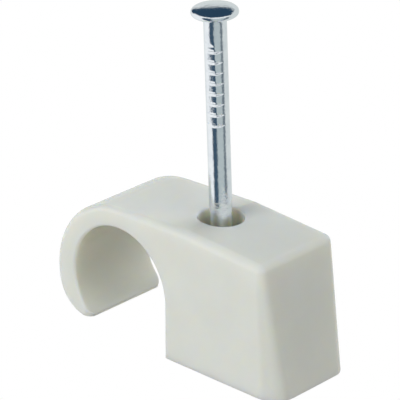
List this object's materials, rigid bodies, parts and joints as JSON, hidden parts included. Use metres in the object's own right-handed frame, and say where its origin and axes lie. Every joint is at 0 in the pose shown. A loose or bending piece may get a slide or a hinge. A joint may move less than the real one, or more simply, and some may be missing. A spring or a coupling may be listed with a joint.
{
  "type": "nail-in cable clip",
  "caption": "Moulded plastic cable clip: a hook-shaped arch over a round cable seat, joined to a block that carries a steel nail set ready to drive into a wall.",
  "frame": {"origin": "on the wall face, straight under the mouth of the nail hole, halfway along the cable", "axes": "+X from the hook to the outer end of the block, +Y along the cable, +Z away from the wall"},
  "size_m": [0.0266, 0.0094, 0.0321],
  "materials": {
    "clip_plastic": "light grey moulded plastic, semi-gloss",
    "nail_steel": "bright zinc plating with a faint blue tone"
  },
  "bodies": {
    "root": {"clip_body": "clip_plastic", "nail": "nail_steel"}
  },
  "joints": []
}
